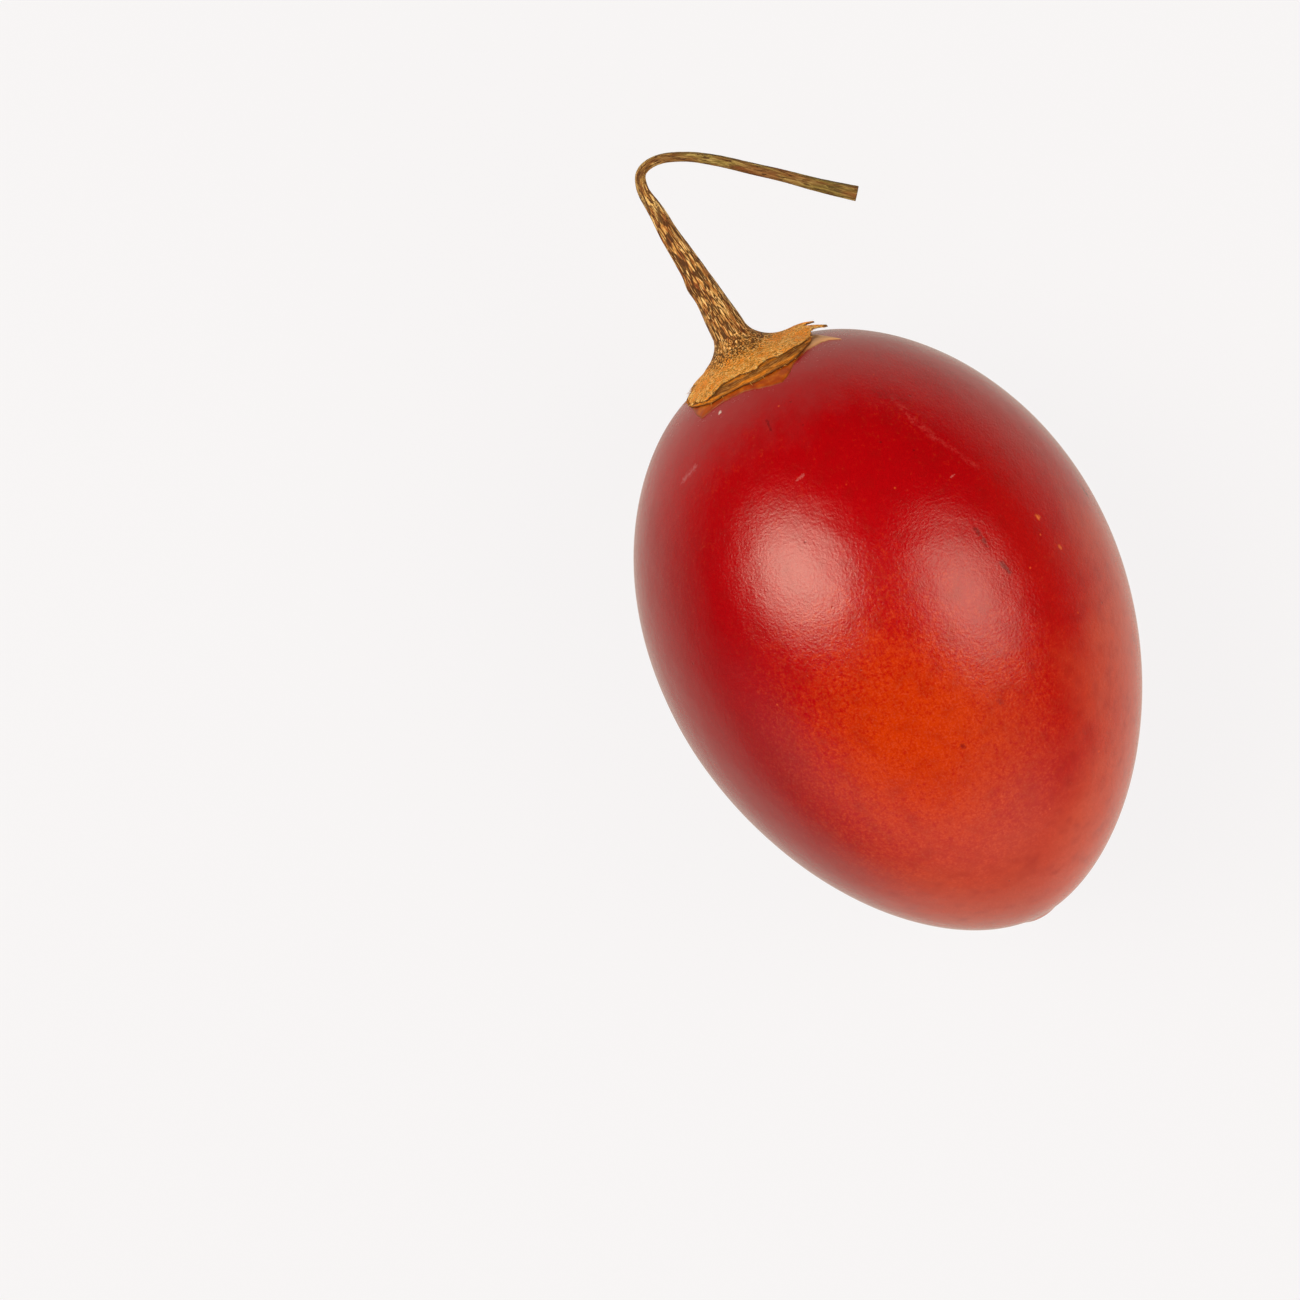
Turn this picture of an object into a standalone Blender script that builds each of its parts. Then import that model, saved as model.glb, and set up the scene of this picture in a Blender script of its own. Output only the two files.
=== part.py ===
"""Tamarillo: one ripe whole fruit with its calyx and its hooked stem, lying on its side.

The pieces are drawn in the fruit's own frame, an empty called fruit_axis. There +X runs from the
stem end to the blossom end, +Z is the side that ends up on top, and angles round the axis start
at +Y and turn towards +Z. The empty is tipped the way the fruit comes to rest and lifted, so the
small flat spot under the fruit lies on Z = 0 with its middle at the world's origin.
"""

import math

import bmesh
import bpy
from mathutils import Vector

MM = 0.001

# Fruit: an egg, fuller towards the stem, with a faint bow and swell
FRUIT_LENGTH = 68.4 * MM
FRUIT_WIDTH = 50.0 * MM
END_SHARPNESS = 1.088  # power of the sine: over 1 draws the ends out
STEM_FULLNESS = 0.0755  # moves the widest girth towards the stem
FLANK_FULLNESS = -0.0078
FRUIT_BOW = -0.45 * MM  # how far both ends bend towards -Y
SWELLS = ((2, 0.006), (3, 0.004))  # (waves round the fruit, share of its radius)
FRUIT_RINGS = 42
FRUIT_SIDES = 64
END_RING_PULL = 0.25  # draws the rings closer together near both ends

# Stem end under the calyx, and the small nub at the blossom end
DIP_DEPTH = 1.1 * MM
DIP_SPREAD = 8.0 * MM
NUB_HEIGHT = 0.35 * MM
NUB_RADIUS = 2.0 * MM
NUB_DIMPLE = 0.25 * MM
NUB_DIMPLE_RADIUS = 0.8 * MM

# How the fruit rests: its weight lies over the flat spot
REST_TIP = math.radians(4.37)  # blossom end down
FLAT_DEPTH = 0.5 * MM

# Calyx: a neck that flares into a skirt of five lobes
GAP = 0.3 * MM
CALYX_Y = -0.95 * MM
NECK = (  # (radius, height above the skin)
    (1.84 * MM, 4.45 * MM),
    (1.92 * MM, 3.20 * MM),
    (2.20 * MM, 2.55 * MM),
    (2.65 * MM, 2.00 * MM),
    (3.30 * MM, 1.50 * MM),
    (4.20 * MM, 1.10 * MM),
)
SKIRT = ((0.4, 0.92 * MM), (0.75, 0.92 * MM), (1.0, 1.05 * MM))  # (share of reach, height)
RIM = ((0.4 * MM, 0.80 * MM), (0.7 * MM, GAP))  # (past the reach, height)
UNDERSIDE = (0.75, 0.5, 0.25)  # shares of the reach where the underside has points
LOBES = (  # (angle in degrees, reach): one to the +Y side, two above and two below
    (18, 9.4 * MM),
    (80, 9.8 * MM),
    (142, 9.0 * MM),
    (232, 8.6 * MM),
    (300, 9.4 * MM),
)
NOTCH_REACH = 5.6 * MM
LOBE_TAPER = 0.07 * MM  # what a lobe loses for each degree away from its tip
CALYX_SIDES = 72

# Stem: where its middle runs and how thick it is there, (x, y, z, radius)
STEM_PATH = (
    (-37.8 * MM, -1.0 * MM, 0.0 * MM, 1.80 * MM),
    (-41.2 * MM, -1.2 * MM, 0.1 * MM, 1.45 * MM),
    (-45.0 * MM, -1.5 * MM, 0.3 * MM, 1.20 * MM),
    (-48.2 * MM, -1.8 * MM, 0.5 * MM, 1.00 * MM),
    (-51.1 * MM, -1.9 * MM, 0.8 * MM, 0.83 * MM),
    (-53.5 * MM, -2.1 * MM, 1.0 * MM, 0.64 * MM),
    (-55.1 * MM, -1.7 * MM, 1.3 * MM, 0.54 * MM),
    (-55.8 * MM, -0.8 * MM, 1.5 * MM, 0.51 * MM),
    (-55.9 * MM, 0.6 * MM, 1.7 * MM, 0.50 * MM),
    (-55.5 * MM, 2.1 * MM, 2.0 * MM, 0.50 * MM),
    (-54.5 * MM, 4.1 * MM, 2.4 * MM, 0.53 * MM),
    (-52.8 * MM, 6.5 * MM, 3.0 * MM, 0.59 * MM),
    (-50.6 * MM, 9.1 * MM, 3.6 * MM, 0.61 * MM),
    (-48.4 * MM, 11.7 * MM, 4.2 * MM, 0.63 * MM),
    (-45.9 * MM, 14.5 * MM, 4.8 * MM, 0.69 * MM),
    (-43.5 * MM, 17.4 * MM, 5.3 * MM, 0.79 * MM),
)
STEM_STEP = 0.7 * MM
STEM_SIDES = 20
STEM_RIDGES = 10
RIDGE_DEPTH = 0.04  # share of the radius
KNUCKLE_X = -41.9 * MM
KNUCKLE_LENGTH = 1.0 * MM
KNUCKLE_HEIGHT = 0.22 * MM

FRUIT_COLOUR = (0.42, 0.012, 0.012, 1.0)
CALYX_COLOUR = (0.52, 0.22, 0.045, 1.0)
STEM_COLOUR = (0.30, 0.16, 0.05, 1.0)


def clear_scene():
    for obj in list(bpy.data.objects):
        bpy.data.objects.remove(obj, do_unlink=True)


def plain_material(name, colour, roughness):
    material = bpy.data.materials.new(name)
    material.use_nodes = True
    shader = material.node_tree.nodes["Principled BSDF"]
    shader.inputs["Base Color"].default_value = colour
    shader.inputs["Roughness"].default_value = roughness
    shader.inputs["Metallic"].default_value = 0.0
    return material


def closed_skin(rings, first_end, last_end):
    """A bmesh of rings of points joined by quads, each end closed by a fan to one point."""
    shape = bmesh.new()
    loops = [[shape.verts.new(point) for point in ring] for ring in rings]
    sides = len(rings[0])
    for ring, after in zip(loops, loops[1:]):
        for i in range(sides):
            j = (i + 1) % sides
            shape.faces.new((ring[i], ring[j], after[j], after[i]))
    for ring, end in ((loops[0], first_end), (loops[-1], last_end)):
        middle = shape.verts.new(end)
        for i in range(sides):
            shape.faces.new((ring[i], ring[(i + 1) % sides], middle))
    bmesh.ops.recalc_face_normals(shape, faces=shape.faces)
    return shape


def add_piece(name, shape, material, parent, sharp_angle):
    mesh = bpy.data.meshes.new(name)
    shape.to_mesh(mesh)
    shape.free()
    mesh.shade_smooth()
    mesh.set_sharp_from_angle(angle=math.radians(sharp_angle))
    mesh.materials.append(material)
    piece = bpy.data.objects.new(name, mesh)
    bpy.context.scene.collection.objects.link(piece)
    piece.parent = parent
    return piece


def girth(u):
    """The fruit's radius before scaling; u runs from 0 at the stem end to pi at the blossom end."""
    fullness = 1 + STEM_FULLNESS * math.cos(u) + FLANK_FULLNESS * math.cos(2 * u)
    return math.sin(u) ** END_SHARPNESS * fullness


WIDEST_GIRTH = max(girth(math.pi * i / 1000) for i in range(1, 1000))


def fruit_radius(u):
    return FRUIT_WIDTH / 2 * girth(u) / WIDEST_GIRTH


def fruit_x(u):
    """Place along the axis: the egg's own, sunk under the calyx and raised in the nub."""
    radius = fruit_radius(u)
    x = -FRUIT_LENGTH / 2 * math.cos(u)
    if u < math.pi / 2:
        return x + DIP_DEPTH * math.exp(-((radius / DIP_SPREAD) ** 2))
    nub = NUB_HEIGHT * math.exp(-((radius / NUB_RADIUS) ** 4))
    dimple = NUB_DIMPLE * math.exp(-((radius / NUB_DIMPLE_RADIUS) ** 2))
    return x + nub - dimple


def bow(x):
    return FRUIT_BOW * (2 * x / FRUIT_LENGTH) ** 2


def fruit_point(u, angle):
    x = fruit_x(u)
    swell = 1 + sum(share * math.sin(waves * angle) for waves, share in SWELLS) * math.sin(u)
    radius = fruit_radius(u) * swell
    return Vector((x, radius * math.cos(angle) + bow(x), radius * math.sin(angle)))


def skin_x(y, z):
    """Where the skin round the stem end lies under a point beside the axis."""
    away = math.hypot(y - FRUIT_BOW, z)
    low, high = 0.0, math.pi / 3
    for _ in range(40):
        middle = (low + high) / 2
        if fruit_radius(middle) < away:
            low = middle
        else:
            high = middle
    return fruit_x(low)


def tipped(point):
    """The point as the fruit rests, before it is moved over the origin."""
    c, s = math.cos(REST_TIP), math.sin(REST_TIP)
    return Vector((point.x * c + point.z * s, point.y, point.z * c - point.x * s))


def make_fruit(parent, material):
    shares = [i / FRUIT_RINGS for i in range(1, FRUIT_RINGS)]
    turns = [math.pi * t - END_RING_PULL * math.sin(2 * math.pi * t) for t in shares]
    angles = [2 * math.pi * i / FRUIT_SIDES for i in range(FRUIT_SIDES)]
    rings = [[fruit_point(u, angle) for angle in angles] for u in turns]
    stem_pole = Vector((fruit_x(0.0), FRUIT_BOW, 0.0))
    blossom_pole = Vector((fruit_x(math.pi), FRUIT_BOW, 0.0))
    shape = closed_skin(rings, stem_pole, blossom_pole)
    lowest = min((vert.co.copy() for vert in shape.verts), key=lambda point: tipped(point).z)
    up = Vector((-math.sin(REST_TIP), 0.0, math.cos(REST_TIP)))
    cut = bmesh.ops.bisect_plane(
        shape,
        geom=shape.verts[:] + shape.edges[:] + shape.faces[:],
        plane_co=lowest + up * FLAT_DEPTH,
        plane_no=-up,
        clear_outer=True,
    )
    rim = [item for item in cut["geom_cut"] if isinstance(item, bmesh.types.BMEdge)]
    bmesh.ops.contextual_create(shape, geom=rim)
    ends = [tipped(vert.co) for edge in rim for vert in edge.verts]
    middle = Vector(
        ((min(p.x for p in ends) + max(p.x for p in ends)) / 2,
         (min(p.y for p in ends) + max(p.y for p in ends)) / 2,
         ends[0].z)
    )
    parent.location = -middle
    return add_piece("fruit", shape, material, parent, 40)


def lobe_reach(degrees):
    reach = NOTCH_REACH
    for middle, longest in LOBES:
        away = abs((degrees - middle + 180) % 360 - 180)
        reach = max(reach, longest - LOBE_TAPER * away)
    return reach


def calyx_point(radius, height, angle):
    y = CALYX_Y + radius * math.cos(angle)
    z = radius * math.sin(angle)
    return Vector((skin_x(y, z) - height, y, z))


def make_calyx(parent, material):
    """Rings from the neck's top, down the flare, round the rim and back under to the middle."""
    degrees = [360 * i / CALYX_SIDES for i in range(CALYX_SIDES)]
    neck_width = NECK[-1][0]
    rings = []
    for radius, height in NECK:
        rings.append([calyx_point(radius, height, math.radians(d)) for d in degrees])
    for share, height in SKIRT:
        radii = [neck_width + (lobe_reach(d) - neck_width) * share for d in degrees]
        rings.append([calyx_point(r, height, math.radians(d)) for r, d in zip(radii, degrees)])
    for past, height in RIM:
        rings.append([calyx_point(lobe_reach(d) + past, height, math.radians(d)) for d in degrees])
    for share in UNDERSIDE:
        rings.append([calyx_point(lobe_reach(d) * share, GAP, math.radians(d)) for d in degrees])
    top = calyx_point(0.0, NECK[0][1], 0.0)
    bottom = calyx_point(0.0, GAP, 0.0)
    return add_piece("calyx", closed_skin(rings, top, bottom), material, parent, 50)


def smooth_run(points, step):
    """Catmull-Rom points through the given ones, about step apart, as (place, radius) pairs."""
    knots = [Vector(point) for point in points]
    knots = [2 * knots[0] - knots[1], *knots, 2 * knots[-1] - knots[-2]]
    run = []
    for a, b, c, d in zip(knots, knots[1:], knots[2:], knots[3:]):
        count = max(1, round((c.xyz - b.xyz).length / step))
        for i in range(count):
            t = i / count
            run.append(
                0.5 * (2 * b + (c - a) * t + (2 * a - 5 * b + 4 * c - d) * t**2
                       + (3 * b - a - 3 * c + d) * t**3)
            )
    run.append(knots[-2])
    return [(point.xyz, point.w) for point in run]


def make_stem(parent, material):
    """Ridged rings carried along the path without twist, flat at the foot and at the cut end."""
    run = smooth_run(STEM_PATH, STEM_STEP)
    across = Vector((0.0, 1.0, 0.0))
    rings = []
    for k, (place, radius) in enumerate(run):
        before, after = run[max(k - 1, 0)][0], run[min(k + 1, len(run) - 1)][0]
        along = (after - before).normalized()
        across = (across - along * across.dot(along)).normalized()
        over = along.cross(across)
        knuckle = KNUCKLE_HEIGHT * math.exp(-(((place.x - KNUCKLE_X) / KNUCKLE_LENGTH) ** 2))
        knuckle *= place.y < 0
        ring = []
        for i in range(STEM_SIDES):
            angle = 2 * math.pi * i / STEM_SIDES
            ridge = 1 + RIDGE_DEPTH * math.cos(STEM_RIDGES * angle)
            bump = knuckle * max(0.0, -math.cos(angle))
            out = radius * ridge + bump
            ring.append(place + out * (across * math.cos(angle) + over * math.sin(angle)))
        rings.append(ring)
    shape = closed_skin(rings, run[0][0], run[-1][0])
    return add_piece("stem", shape, material, parent, 40)


def main():
    clear_scene()
    axis = bpy.data.objects.new("fruit_axis", None)
    axis.rotation_euler = (0.0, REST_TIP, 0.0)
    bpy.context.scene.collection.objects.link(axis)
    make_fruit(axis, plain_material("ripe red skin", FRUIT_COLOUR, 0.4))
    make_calyx(axis, plain_material("dry calyx", CALYX_COLOUR, 0.8))
    make_stem(axis, plain_material("dry stem", STEM_COLOUR, 0.85))


main()
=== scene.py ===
import math
from functools import partial

import bpy
import numpy as np
from mathutils import Matrix, Vector, noise


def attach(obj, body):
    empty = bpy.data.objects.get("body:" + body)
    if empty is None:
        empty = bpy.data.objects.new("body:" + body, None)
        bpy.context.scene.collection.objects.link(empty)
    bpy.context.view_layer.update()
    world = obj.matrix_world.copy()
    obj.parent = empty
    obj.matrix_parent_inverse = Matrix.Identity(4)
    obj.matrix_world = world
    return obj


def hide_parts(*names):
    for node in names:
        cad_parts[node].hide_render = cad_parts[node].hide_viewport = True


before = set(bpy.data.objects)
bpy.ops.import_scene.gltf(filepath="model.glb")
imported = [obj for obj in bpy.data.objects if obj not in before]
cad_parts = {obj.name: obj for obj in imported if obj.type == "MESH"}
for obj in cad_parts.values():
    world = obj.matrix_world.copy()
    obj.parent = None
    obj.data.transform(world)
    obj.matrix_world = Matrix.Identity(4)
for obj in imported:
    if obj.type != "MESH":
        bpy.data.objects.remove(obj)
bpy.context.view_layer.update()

bl_info = {
    "name": "Tamarillo",
    "version": (1, 0, 0),
    "blender": (4, 5, 0),
    "location": "View3D > Sidebar > Tamarillo",
    "description": "A ripe tamarillo on its side, with its dry calyx and its hooked stem",
    "category": "Object",
}

# Shapes are drawn in the fruit's own frame, in millimetres: +X runs from the stem end to the
# blossom end, and angles round that axis start at +Y and turn towards +Z, the side on top.
MM = 0.001
REST_TIP = math.radians(4.37)
FRUIT_CENTRE = Vector((0.8212, 0.2905, 24.4648)) * MM
TURN = np.array(Matrix.Rotation(REST_TIP, 3, "Y")).T  # tips rows of points as the fruit rests

# The fruit's rule, with the same values as its solid
FRUIT_LENGTH, FRUIT_WIDTH = 68.4, 50.0
END_SHARPNESS, STEM_FULLNESS, FLANK_FULLNESS = 1.088, 0.0755, -0.0078
FRUIT_BOW = -0.45
DIP_DEPTH, DIP_SPREAD = 1.1, 8.0
NUB_HEIGHT, NUB_RADIUS, NUB_DIMPLE, NUB_DIMPLE_RADIUS = 0.35, 2.0, 0.25, 0.8

# Calyx: (radius, height above the skin, share of the flare's look) down its neck
CALYX_Y = -0.95
NECK = ((1.92, 3.2, 0.0), (2.2, 2.55, 0.12), (2.65, 2.0, 0.32), (3.3, 1.5, 0.62), (4.2, 1.1, 0.88))
# What it reaches at each angle in degrees: the upper sheet, the rolled margin under it and the lining
SHEET_REACH = (
    (0, 7.3), (2, 7.7), (3.2, 8.35), (5, 8.35), (6.5, 7.7), (8, 7.25), (10.5, 7.3), (12.5, 8.0),
    (14.5, 8.9), (16, 9.8), (17.2, 9.8), (18.3, 9.0), (20, 8.4), (24, 8.2), (27, 8.4), (33, 8.6),
    (46, 8.9), (55, 8.8), (63, 8.6), (69, 8.1), (74, 7.8), (80, 8.0), (85, 8.4), (92, 8.1), (98, 7.7),
    (106, 7.6), (115, 7.8), (121, 8.6), (126, 9.1), (134, 8.8), (141, 8.3), (145, 8.7), (150, 8.2),
    (157, 7.7), (164, 7.4), (172, 6.4), (180, 6.0), (190, 5.8), (200, 6.2), (212, 7.2), (224, 8.1),
    (232, 8.6), (240, 8.0), (250, 7.0), (262, 6.0), (272, 6.3), (284, 7.7), (294, 8.8), (300, 9.3),
    (307, 8.7), (318, 7.6), (330, 6.6), (342, 6.3), (352, 6.6),
)
ROLL_REACH = (
    (0, 6.9), (8, 7.1), (18, 7.5), (24, 7.9), (30, 8.4), (36, 8.7), (46, 9.0), (58, 9.5), (66, 9.65),
    (74, 9.45), (81, 9.4), (89, 9.5), (98, 9.0), (110, 9.0), (122, 9.3), (130, 9.1), (145, 8.7),
    (164, 7.6), (180, 6.3), (200, 6.6), (212, 7.6), (232, 9.0), (250, 7.5), (262, 6.5), (284, 8.2),
    (300, 9.6), (318, 8.1), (342, 6.7),
)
LINING_REACH = (
    (0, 7.4), (12, 8.0), (18, 8.8), (22, 10.0), (25, 11.1), (28, 10.0), (33, 9.5), (46, 9.1), (62, 9.6),
    (70, 10.6), (77, 11.15), (84, 10.7), (98, 9.5), (113, 9.4), (122, 9.8), (129, 10.4), (134, 9.9),
    (145, 8.6), (164, 7.2), (180, 6.4), (205, 7.6), (222, 9.6), (232, 9.3), (250, 7.4), (264, 7.2),
    (284, 8.8), (296, 10.0), (306, 9.2), (330, 7.0),
)
SHEET_HEIGHT = (
    (0, 1.3), (5, 1.4), (10, 1.2), (16, 1.25), (24, 1.0), (33, 0.9), (60, 0.95), (90, 0.95), (115, 0.85),
    (135, 0.62), (150, 0.5), (170, 0.5), (200, 0.6), (232, 0.8), (262, 0.6), (300, 0.95), (330, 0.8),
)

# Stem: where its middle runs and how thick it is there, (x, y, z, radius)
STEM_PATH = (
    (-37.8, -1.0, 0.0, 1.8), (-41.2, -1.2, 0.1, 1.45), (-45.0, -1.5, 0.3, 1.2), (-48.2, -1.8, 0.5, 1.0),
    (-51.1, -1.9, 0.8, 0.83), (-53.5, -2.1, 1.0, 0.64), (-55.1, -1.7, 1.3, 0.54), (-55.8, -0.8, 1.5, 0.51),
    (-55.9, 0.6, 1.7, 0.5), (-55.5, 2.1, 2.0, 0.5), (-54.5, 4.1, 2.4, 0.53), (-52.8, 6.5, 3.0, 0.59),
    (-50.6, 9.1, 3.6, 0.61), (-48.4, 11.7, 4.2, 0.63), (-45.9, 14.5, 4.8, 0.69), (-43.5, 17.4, 5.3, 0.79),
)
ROOT_LENGTH, ROOT_RADIUS = 1.2, 1.7  # the end that is hidden in the calyx
GRAIN_STRETCH = 0.2  # the grain's length along a piece, so fissures come out long

# The calyx is drawn every half degree round its axis, with so many steps to a span of its curves
DEGREES = np.arange(720) * 0.5
TURNS = np.radians(DEGREES)

STEPS_DOWN_FLARE, STEPS_ON_ROLL = 6, 5
CHARRED_FROM, CHARRED_OVER = 9.3, 0.3  # how far a tooth reaches where it starts to be charred
TONGUE_ANGLE = 28  # where the lining has lifted off the skin
FIBRE_EVERY = 6  # steps of half a degree between the places of torn fibres

# Surfaces: plant wax, and dry tissue, which shines less
CUTICLE_IOR = 1.45
DRY_SURFACE = {"IOR": CUTICLE_IOR, "Specular IOR Level": 0.3}

# Stage: the camera's axes and its place from the fruit in millimetres, 5 degrees past upright,
# then how far the lamps stand and half the table's side, in metres
CAMERA_RIGHT, CAMERA_UP = Vector((0.4640, 0.8859, 0.0)), Vector((-0.8825, 0.4622, -0.0872))
CAMERA_FROM = Vector((-63.2, 3.81, 683.04))
LAMP_AWAY, TABLE_HALF = 2.0, 4.0

# Options that many properties and nodes share
SWATCH = {"subtype": "COLOR", "size": 4, "min": 0, "max": 1}
SMOOTH = {"interpolation_type": "SMOOTHSTEP"}
BLEND = {"data_type": "RGBA"}
SOCKET_KINDS = {float: "Float", int: "Int", Vector: "Vector"}

# Marks on the skin, in the fruit's frame: from, to, width, colour and strength
SKIN_MARKS = (
    ((-24.1, 10.9, 14.2), (-21.4, 11.6, 16.0), 0.5, "#D04A48", 0.22),  # a long pale scuff
    ((-21.4, 11.6, 16.0), (-18.8, 12.8, 17.0), 0.6, "#D04A48", 0.26),
    ((-18.8, 12.8, 17.0), (-14.3, 15.1, 17.6), 0.5, "#D04A48", 0.2),
    ((-25.3, 9.8, 13.8), (-23.7, 11.5, 14.2), 1.1, "#5A0612", 0.3),  # and the dull smear beside it
    ((-9.2, 12.1, 21.3), (-6.9, 12.4, 21.6), 0.36, "#66080A", 0.75),  # dark scratches
    ((-4.9, 12.8, 21.5), (-3.7, 13.1, 21.4), 0.32, "#66080A", 0.7),
    ((-28.0, -1.7, 14.2), (-27.0, -1.7, 15.2), 0.18, "#4A0208", 0.45),
    ((-6.1, 24.0, 6.7), (-4.6, 24.2, 6.4), 0.6, "#6A1C14", 0.8),  # a healed nick
    ((-6.7, 18.4, 16.9), (-6.6, 18.4, 16.9), 0.38, "#E87434", 0.8),  # orange and dark spots
    ((-2.7, 19.0, 16.6), (-2.6, 19.0, 16.6), 0.3, "#E87434", 0.7),
    ((9.8, 0.7, 23.2), (9.9, 0.7, 23.2), 0.4, "#7C0A04", 0.8),
    ((7.6, 6.2, 23.0), (7.7, 6.3, 23.0), 0.45, "#8E0E06", 0.6),
    ((-26.1, -12.3, 10.9), (-26.9, -10.5, 11.6), 0.5, "#C08088", 0.3),  # pale scuffs by the calyx
    ((-21.9, -1.7, 19.4), (-22.0, -0.9, 19.4), 0.2, "#E89A9A", 0.2),
    ((-14.8, 12.3, 19.5), (-14.8, 12.8, 19.2), 0.16, "#E89A9A", 0.25),
    ((-30.5, -5.6, 9.5), (-30.4, -5.6, 9.6), 0.24, "#F4E4E4", 0.8),
)


def linear(code):
    """The linear RGBA of an sRGB hex colour."""
    shares = [int(code[i : i + 2], 16) / 255 for i in (1, 3, 5)]
    return (*(s / 12.92 if s <= 0.04045 else ((s + 0.055) / 1.055) ** 2.4 for s in shares), 1.0)


def plain(value):
    """The value itself, or the linear colour that a hex code stands for."""
    return linear(value) if isinstance(value, str) and value.startswith("#") else value


def add_node(tree, kind, inputs=(), operation=None, ramp=(), **settings):
    """Adds a node with its settings, values and links.

    A kind is given without ShaderNode, GeometryNode or FunctionNode, and one in capitals is an
    operation of a Math node.
    Inputs go by name, or else in order to the sockets in use: vector, scale, detail and roughness
    of a noise, or value, from min, from max, to min and to max of a map range. Each is a value, a
    hex colour, a socket, or a node, whose first output in use is linked. A ramp's stops are even.
    """
    if kind.isupper():
        kind, operation = "Math", kind
    prefixes = ("ShaderNode", "GeometryNode", "FunctionNode", "")
    node = tree.nodes.new(next(prefix + kind for prefix in prefixes if hasattr(bpy.types, prefix + kind)))
    if operation:
        node.operation = operation
    for name, value in settings.items():
        setattr(node, name, value)
    if isinstance(inputs, tuple):
        used = [place for place, socket in enumerate(node.inputs) if socket.enabled]
        inputs = dict(zip(used, inputs))
    for key, value in inputs.items():
        if isinstance(value, bpy.types.Node):
            value = next(socket for socket in value.outputs if socket.enabled)
        if isinstance(value, bpy.types.NodeSocket):
            tree.links.new(value, node.inputs[key])
        else:
            node.inputs[key].default_value = plain(value)
    if ramp:
        stops = node.color_ramp.elements
        while len(stops) < len(ramp):
            stops.new(0.5)
        for i, colour in enumerate(ramp):
            stops[i].position, stops[i].color = i / (len(ramp) - 1), plain(colour)
    return node


def own_nodes(owner):
    """Empties the nodes of a material, a lamp or the world, and gives its own add_node."""
    owner.use_nodes = True
    owner.node_tree.nodes.clear()
    return partial(add_node, owner.node_tree)


def new_tree(name, inputs):
    """A Geometry Nodes tree with these inputs and defaults, its own add_node and its inputs."""
    tree = bpy.data.node_groups.new(name, "GeometryNodeTree")
    tree.interface.new_socket("Geometry", in_out="OUTPUT", socket_type="NodeSocketGeometry")
    for label, value in inputs.items():
        kind = SOCKET_KINDS.get(type(value), label)
        socket = tree.interface.new_socket(label, in_out="INPUT", socket_type="NodeSocket" + kind)
        if value is not None:
            socket.default_value = value
    return tree, partial(add_node, tree), tree.nodes.new("NodeGroupInput").outputs


def end_tree(add, shape, material):
    """Smooths, realizes and coats a shape, and sends it out of its tree."""
    smooth = add("SetShadeSmooth", (shape,))
    whole = add("RealizeInstances", (smooth,))
    done = add("SetMaterial", {"Geometry": whole, "Material": material})
    add("NodeGroupOutput", (done,))


def put(name, data):
    """A new object in the scene."""
    thing = bpy.data.objects.new(name, data)
    bpy.context.scene.collection.objects.link(thing)
    return thing


def facing(place, right, up, back):
    """The matrix of a camera or lamp at a place, with these axes."""
    return Matrix.Translation(place) @ Matrix((right, up, back)).transposed().to_4x4()


def to_world(points):
    """World places in metres of points in the fruit's frame."""
    return points * MM @ TURN + np.array(FRUIT_CENTRE)


def store(mesh, label, values):
    """Keeps one number or one vector for each point of a mesh."""
    kind, field = ("FLOAT_VECTOR", "vector") if values.ndim == 2 else ("FLOAT", "value")
    layer = mesh.attributes.new(label, kind, "POINT")
    layer.data.foreach_set(field, values.astype(np.float32).ravel())


def grow(name, tree, values, base=None):
    """Runs the tree on an object and keeps its result as that object's plain mesh."""
    piece = put(name, base or bpy.data.meshes.new(name))
    modifier = piece.modifiers.new(name, "NODES")
    modifier.node_group = tree
    for socket in tree.interface.items_tree:
        if socket.in_out == "INPUT" and socket.name in values:
            modifier[socket.identifier] = values[socket.name]
    graph = bpy.context.evaluated_depsgraph_get()
    mesh = bpy.data.meshes.new_from_object(
        piece.evaluated_get(graph), preserve_all_data_layers=True, depsgraph=graph)
    piece.modifiers.remove(modifier)
    piece.data = mesh
    mesh.name = name
    if not mesh.polygons:
        raise RuntimeError(f"{name}: the node tree made no faces")
    return piece


def finish_material(add, colour, roughness, normal, values):
    """Ends a material in one surface."""
    shader = add("BsdfPrincipled", {
        "Base Color": colour, "Roughness": roughness, "Normal": normal, **values})
    add("OutputMaterial", (shader,))


def girth(u):
    """The fruit's radius before scaling; u runs from 0 at the stem end to pi at the other."""
    return np.sin(u) ** END_SHARPNESS * (1 + STEM_FULLNESS * np.cos(u) + FLANK_FULLNESS * np.cos(2 * u))


WIDEST_GIRTH = float(girth(np.linspace(0.001, math.pi - 0.001, 2000)).max())
NEAR_STEM = np.linspace(0.0, math.pi / 3, 2000)
NEAR_RADII = FRUIT_WIDTH / 2 * girth(NEAR_STEM) / WIDEST_GIRTH
NEAR_X = -FRUIT_LENGTH / 2 * np.cos(NEAR_STEM) + DIP_DEPTH * np.exp(-((NEAR_RADII / DIP_SPREAD) ** 2))


def skin_x(y, z):
    """Where the skin round the stem end lies under points beside the axis."""
    return np.interp(np.hypot(y - FRUIT_BOW, z), NEAR_RADII, NEAR_X)


def round_values(points):
    """Values between (angle, value) points, all round the calyx."""
    places, values = zip(*points)
    return np.interp(DEGREES, places, values, period=360)


def round_noise(waves, seed):
    """Smooth noise all round the calyx, about -1 to 1, with about this many waves."""
    radius = waves / (2 * math.pi)
    return 1.6 * np.array(
        [noise.noise((radius * math.cos(t), radius * math.sin(t), seed)) for t in TURNS])


def ring(*values):
    """Values all round the calyx, each given as an array or as one number."""
    return np.array(np.broadcast_arrays(*values, DEGREES)[:-1])


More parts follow.
